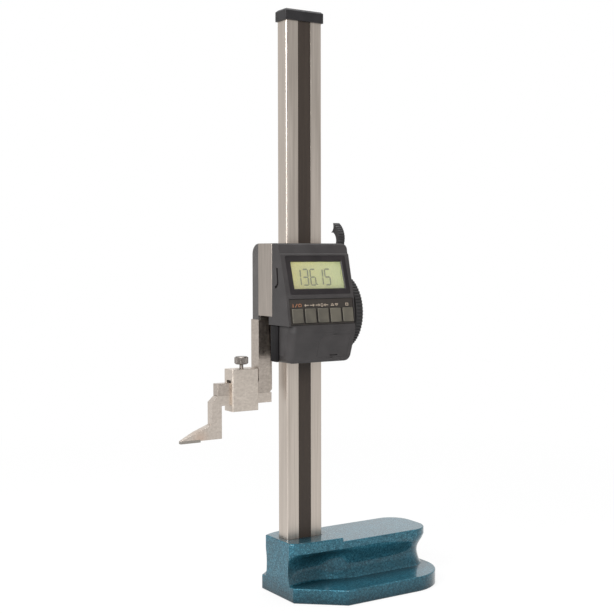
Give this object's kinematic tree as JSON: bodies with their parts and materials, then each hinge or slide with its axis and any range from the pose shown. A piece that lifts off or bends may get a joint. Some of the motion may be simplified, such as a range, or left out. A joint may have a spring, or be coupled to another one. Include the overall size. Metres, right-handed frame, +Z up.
{
  "type": "digital height gauge",
  "caption": "Height gauge: a column on a cast base carries a sliding display head with a hand wheel, a lock lever, keys and a clamped carbide scriber.",
  "frame": {"origin": "on the resting plane, on the column's axis", "axes": "+Z up along the column, the display faces -Y, the scriber points to -X"},
  "size_m": [0.2333, 0.1102, 0.4893],
  "materials": {
    "hammered_enamel": "glossy hammered enamel",
    "ground_steel": "ground, satin",
    "black_screws": "black oxide",
    "bright_screws": "plated",
    "scale_laminate": "matt",
    "black_cap": "satin",
    "bronze": "machined",
    "dark_plastic": "matt",
    "grey_cover": "matt powder coat",
    "housing_plastic": "fine texture",
    "display_window": "clear",
    "lcd": "display panel",
    "key_panel": "matt",
    "circuit_laminate": "laminate",
    "soft_rubber": "moulded",
    "wheel_plastic": "moulded",
    "carbide": "lapped",
    "key_rubber": "moulded"
  },
  "bodies": {
    "stand": {"base_casting": "hammered_enamel", "column_beam": "ground_steel", "column_screws": "black_screws", "scale_strip": "scale_laminate", "column_cap": "black_cap", "cap_screw": "black_screws"},
    "slider": {"slider_body": "ground_steel", "guide_gib": "bronze", "gib_screws": "black_screws", "shaft_bushes": "bronze", "read_head": "dark_plastic", "rear_cover": "grey_cover", "cover_screws": "black_screws", "measuring_jaw": "ground_steel", "jaw_screws": "black_screws", "display_housing": "housing_plastic", "housing_screws": "bright_screws", "display_bezel": "housing_plastic", "display_glass": "display_window", "display_panel": "lcd", "key_panel": "key_panel", "key_board": "circuit_laminate", "circuit_board": "circuit_laminate", "battery_lid": "housing_plastic", "battery": "bright_screws", "data_port_cover": "soft_rubber"},
    "wheel": {"hand_wheel": "wheel_plastic", "wheel_shaft": "bright_screws", "drive_roller": "soft_rubber", "wheel_screw": "bright_screws"},
    "lock": {"clamp_lever": "wheel_plastic", "lock_stud": "bright_screws"},
    "scriber_clamp": {"clamp_box": "ground_steel", "clamp_pad": "bronze"},
    "thumbscrew": {"clamp_thumbscrew": "bright_screws"},
    "scriber": {"scriber": "ground_steel", "carbide_tip": "carbide"},
    "key_1": {"button_1": "key_rubber"},
    "key_2": {"button_2": "key_rubber"},
    "key_3": {"button_3": "key_rubber"},
    "key_4": {"button_4": "key_rubber"},
    "key_5": {"button_5": "key_rubber"}
  },
  "joints": [
    {"name": "slider_travel", "type": "slide", "parent": "stand", "child": "slider", "axis": [0, 0, 1], "range_m": [-0.13615, 0.16385]},
    {"name": "wheel_turn", "type": "hinge", "parent": "slider", "child": "wheel", "pos_m": [0.031, -0.0115, 0.239], "axis": [1, 0, 0], "range_deg": [-2075, 1725]},
    {"name": "lock_swing", "type": "hinge", "parent": "slider", "child": "lock", "pos_m": [0.0315, -0.003, 0.284], "axis": [1, 0, 0], "range_deg": [-15, 45]},
    {"name": "clamp_slide", "type": "slide", "parent": "slider", "child": "scriber_clamp", "axis": [1, 0, 0], "range_m": [-0.004, 0.0015]},
    {"name": "thumbscrew_turn", "type": "hinge", "parent": "scriber_clamp", "child": "thumbscrew", "pos_m": [-0.05305, 0.00653, 0.2], "axis": [0, 0, 1], "range_deg": [0, 360]},
    {"name": "scriber_slide", "type": "slide", "parent": "slider", "child": "scriber", "axis": [1, 0, 0], "range_m": [-0.01, 0.003]},
    {"name": "key_1_press", "type": "slide", "parent": "slider", "child": "key_1", "axis": [0, 0.9879, -0.1551], "range_m": [0, 0.0008], "stiffness_N_per_m": 400},
    {"name": "key_2_press", "type": "slide", "parent": "slider", "child": "key_2", "axis": [0, 0.9879, -0.1551], "range_m": [0, 0.0008], "stiffness_N_per_m": 400},
    {"name": "key_3_press", "type": "slide", "parent": "slider", "child": "key_3", "axis": [0, 0.9879, -0.1551], "range_m": [0, 0.0008], "stiffness_N_per_m": 400},
    {"name": "key_4_press", "type": "slide", "parent": "slider", "child": "key_4", "axis": [0, 0.9879, -0.1551], "range_m": [0, 0.0008], "stiffness_N_per_m": 400},
    {"name": "key_5_press", "type": "slide", "parent": "slider", "child": "key_5", "axis": [0, 0.9879, -0.1551], "range_m": [0, 0.0008], "stiffness_N_per_m": 400}
  ],
  "couplings": [
    {"joint": "wheel_turn", "follows": "slider_travel", "rad_per_m": -219.78}
  ]
}
